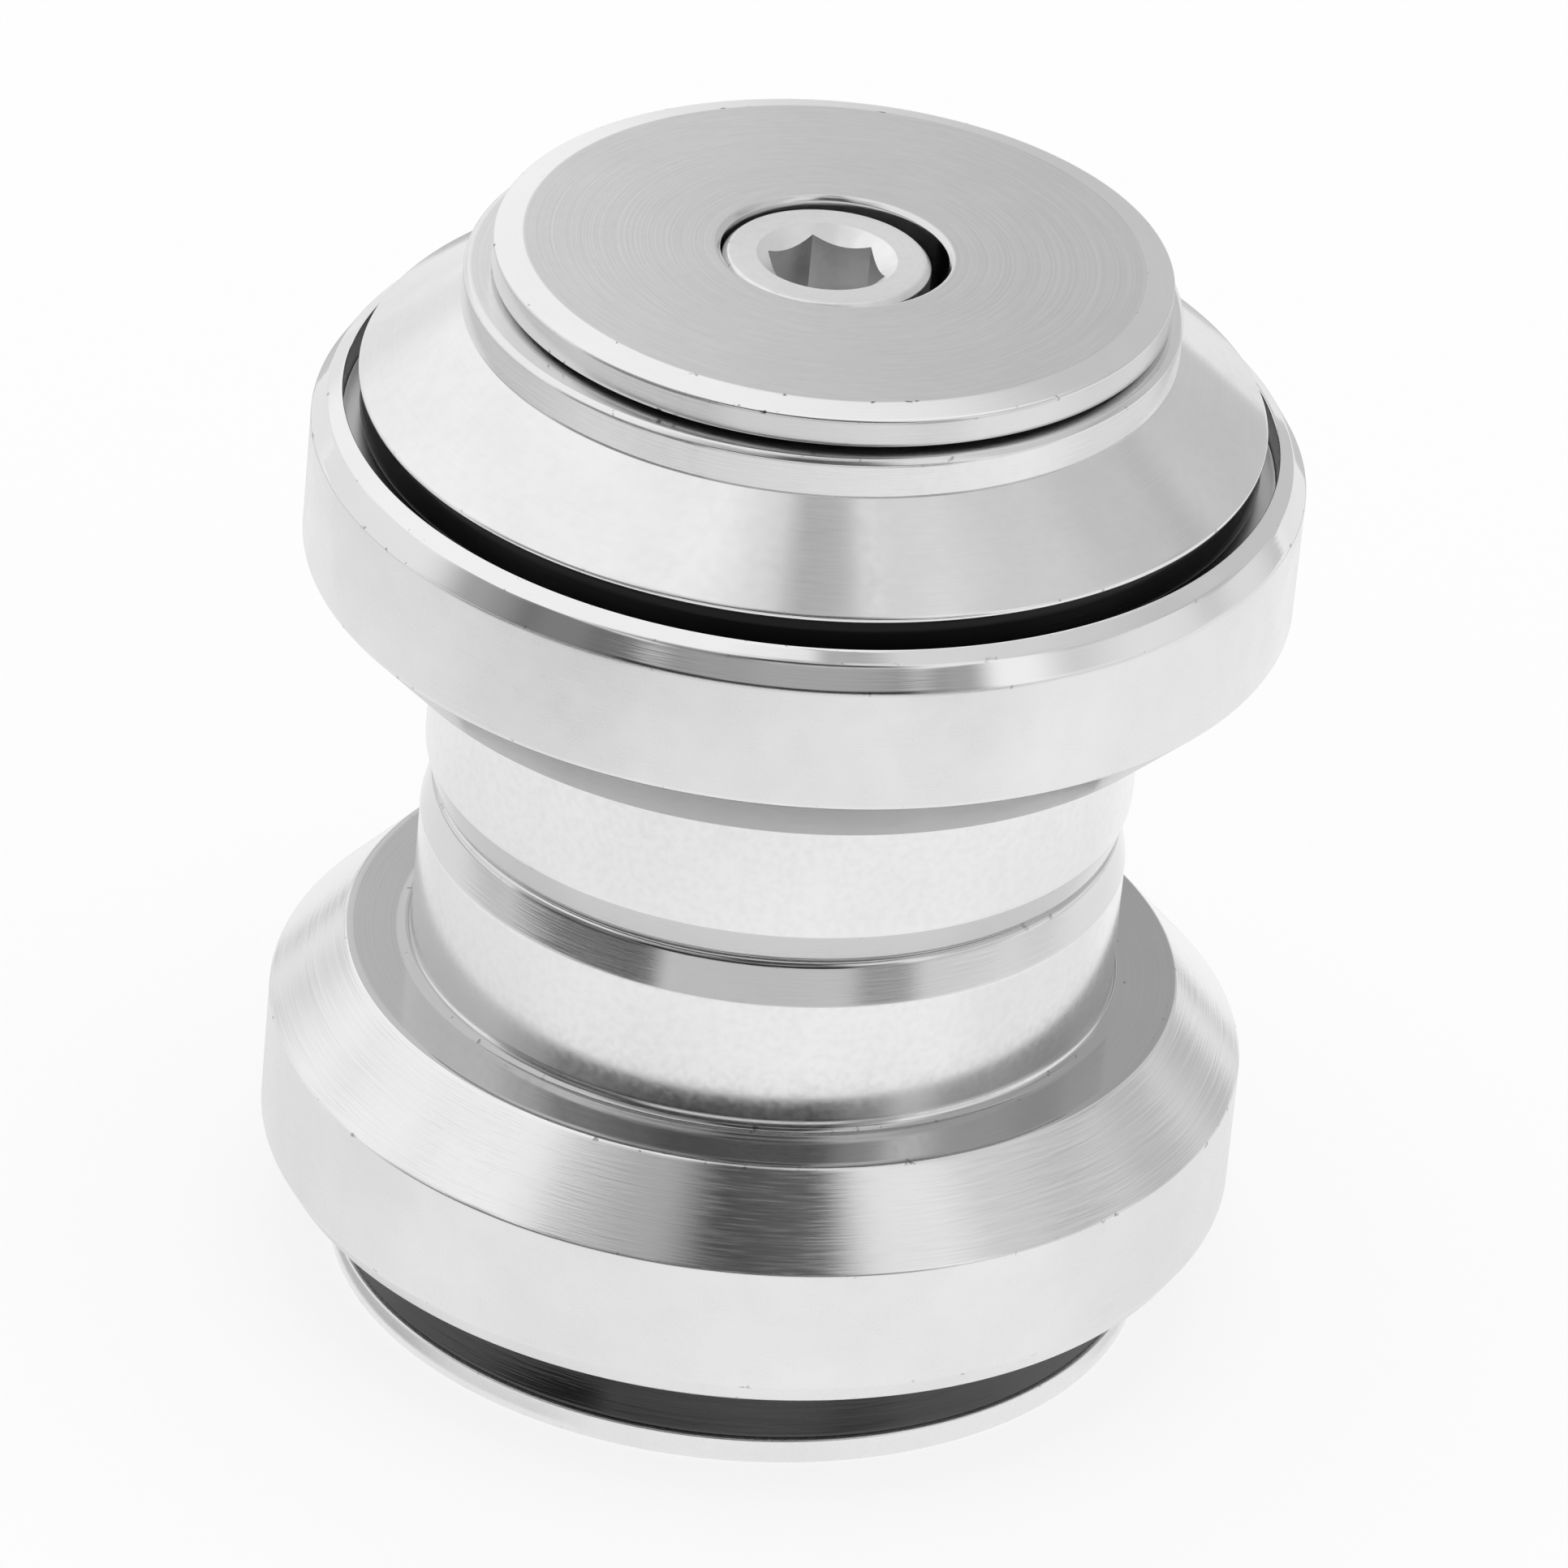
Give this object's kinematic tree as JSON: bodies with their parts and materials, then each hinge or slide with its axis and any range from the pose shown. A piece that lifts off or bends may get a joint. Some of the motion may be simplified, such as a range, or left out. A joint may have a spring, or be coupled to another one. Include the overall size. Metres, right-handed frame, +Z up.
{
  "type": "bicycle headset",
  "caption": "Threadless bicycle headset with external cups, cartridge bearings, crown race, compression ring, bearing cover, top cap, bolt and star nut, stacked as when off the frame.",
  "frame": {"origin": "centre of the crown race's bottom face, where it seats on the fork crown", "axes": "+Z up the steering axis, from the crown race to the top cap; the picture is taken from -Y, with +X to its right"},
  "size_m": [0.0472, 0.0472, 0.0551],
  "materials": {
    "polished_aluminium": "satin turned and polished",
    "turned_aluminium": "fine turned",
    "bolt_steel": "plated",
    "spring_steel": "zinc plated",
    "bearing_steel": "ground",
    "ball_steel": "polished",
    "seal_rubber": "moulded"
  },
  "bodies": {
    "cups": {"upper_cup": "polished_aluminium", "lower_cup": "polished_aluminium", "upper_bearing_outer_race": "bearing_steel", "lower_bearing_outer_race": "bearing_steel", "upper_bearing_seal": "seal_rubber", "lower_bearing_seal": "seal_rubber"},
    "upper_half": {"bearing_cover": "polished_aluminium", "bearing_cover_seal": "seal_rubber", "compression_ring": "turned_aluminium", "upper_bearing_inner_race": "bearing_steel", "top_cap": "turned_aluminium"},
    "upper_ball_ring": {"upper_bearing_balls": "ball_steel"},
    "lower_half": {"crown_race": "polished_aluminium", "crown_race_seal": "seal_rubber", "lower_bearing_inner_race": "bearing_steel"},
    "lower_ball_ring": {"lower_bearing_balls": "ball_steel"},
    "bolt": {"top_cap_bolt": "bolt_steel"},
    "star_nut": {"star_nut_barrel": "spring_steel", "star_nut_upper_star": "spring_steel", "star_nut_lower_star": "spring_steel"}
  },
  "joints": [
    {"name": "upper_turn", "type": "hinge", "parent": "cups", "child": "upper_half", "pos_m": [0, 0, 0.0414], "axis": [0, 0, 1], "continuous": true},
    {"name": "lower_turn", "type": "hinge", "parent": "cups", "child": "lower_half", "pos_m": [0, 0, 0.00985], "axis": [0, 0, 1], "continuous": true},
    {"name": "upper_ball_roll", "type": "hinge", "parent": "cups", "child": "upper_ball_ring", "pos_m": [0, 0, 0.0414], "axis": [0, 0, 1], "continuous": true},
    {"name": "lower_ball_roll", "type": "hinge", "parent": "cups", "child": "lower_ball_ring", "pos_m": [0, 0, 0.00985], "axis": [0, 0, 1], "continuous": true},
    {"name": "bolt_turn", "type": "hinge", "parent": "upper_half", "child": "bolt", "pos_m": [0, 0, 0.05], "axis": [0, 0, 1], "range_deg": [-4330, 2890]},
    {"name": "nut_draw", "type": "slide", "parent": "upper_half", "child": "star_nut", "axis": [0, 0, 1], "range_m": [-0.008, 0.012]}
  ],
  "couplings": [
    {"joint": "upper_ball_roll", "follows": "upper_turn", "ratio": 0.4658},
    {"joint": "lower_ball_roll", "follows": "lower_turn", "ratio": 0.4658},
    {"joint": "bolt_turn", "follows": "nut_draw", "rad_per_m": -6283.2}
  ]
}
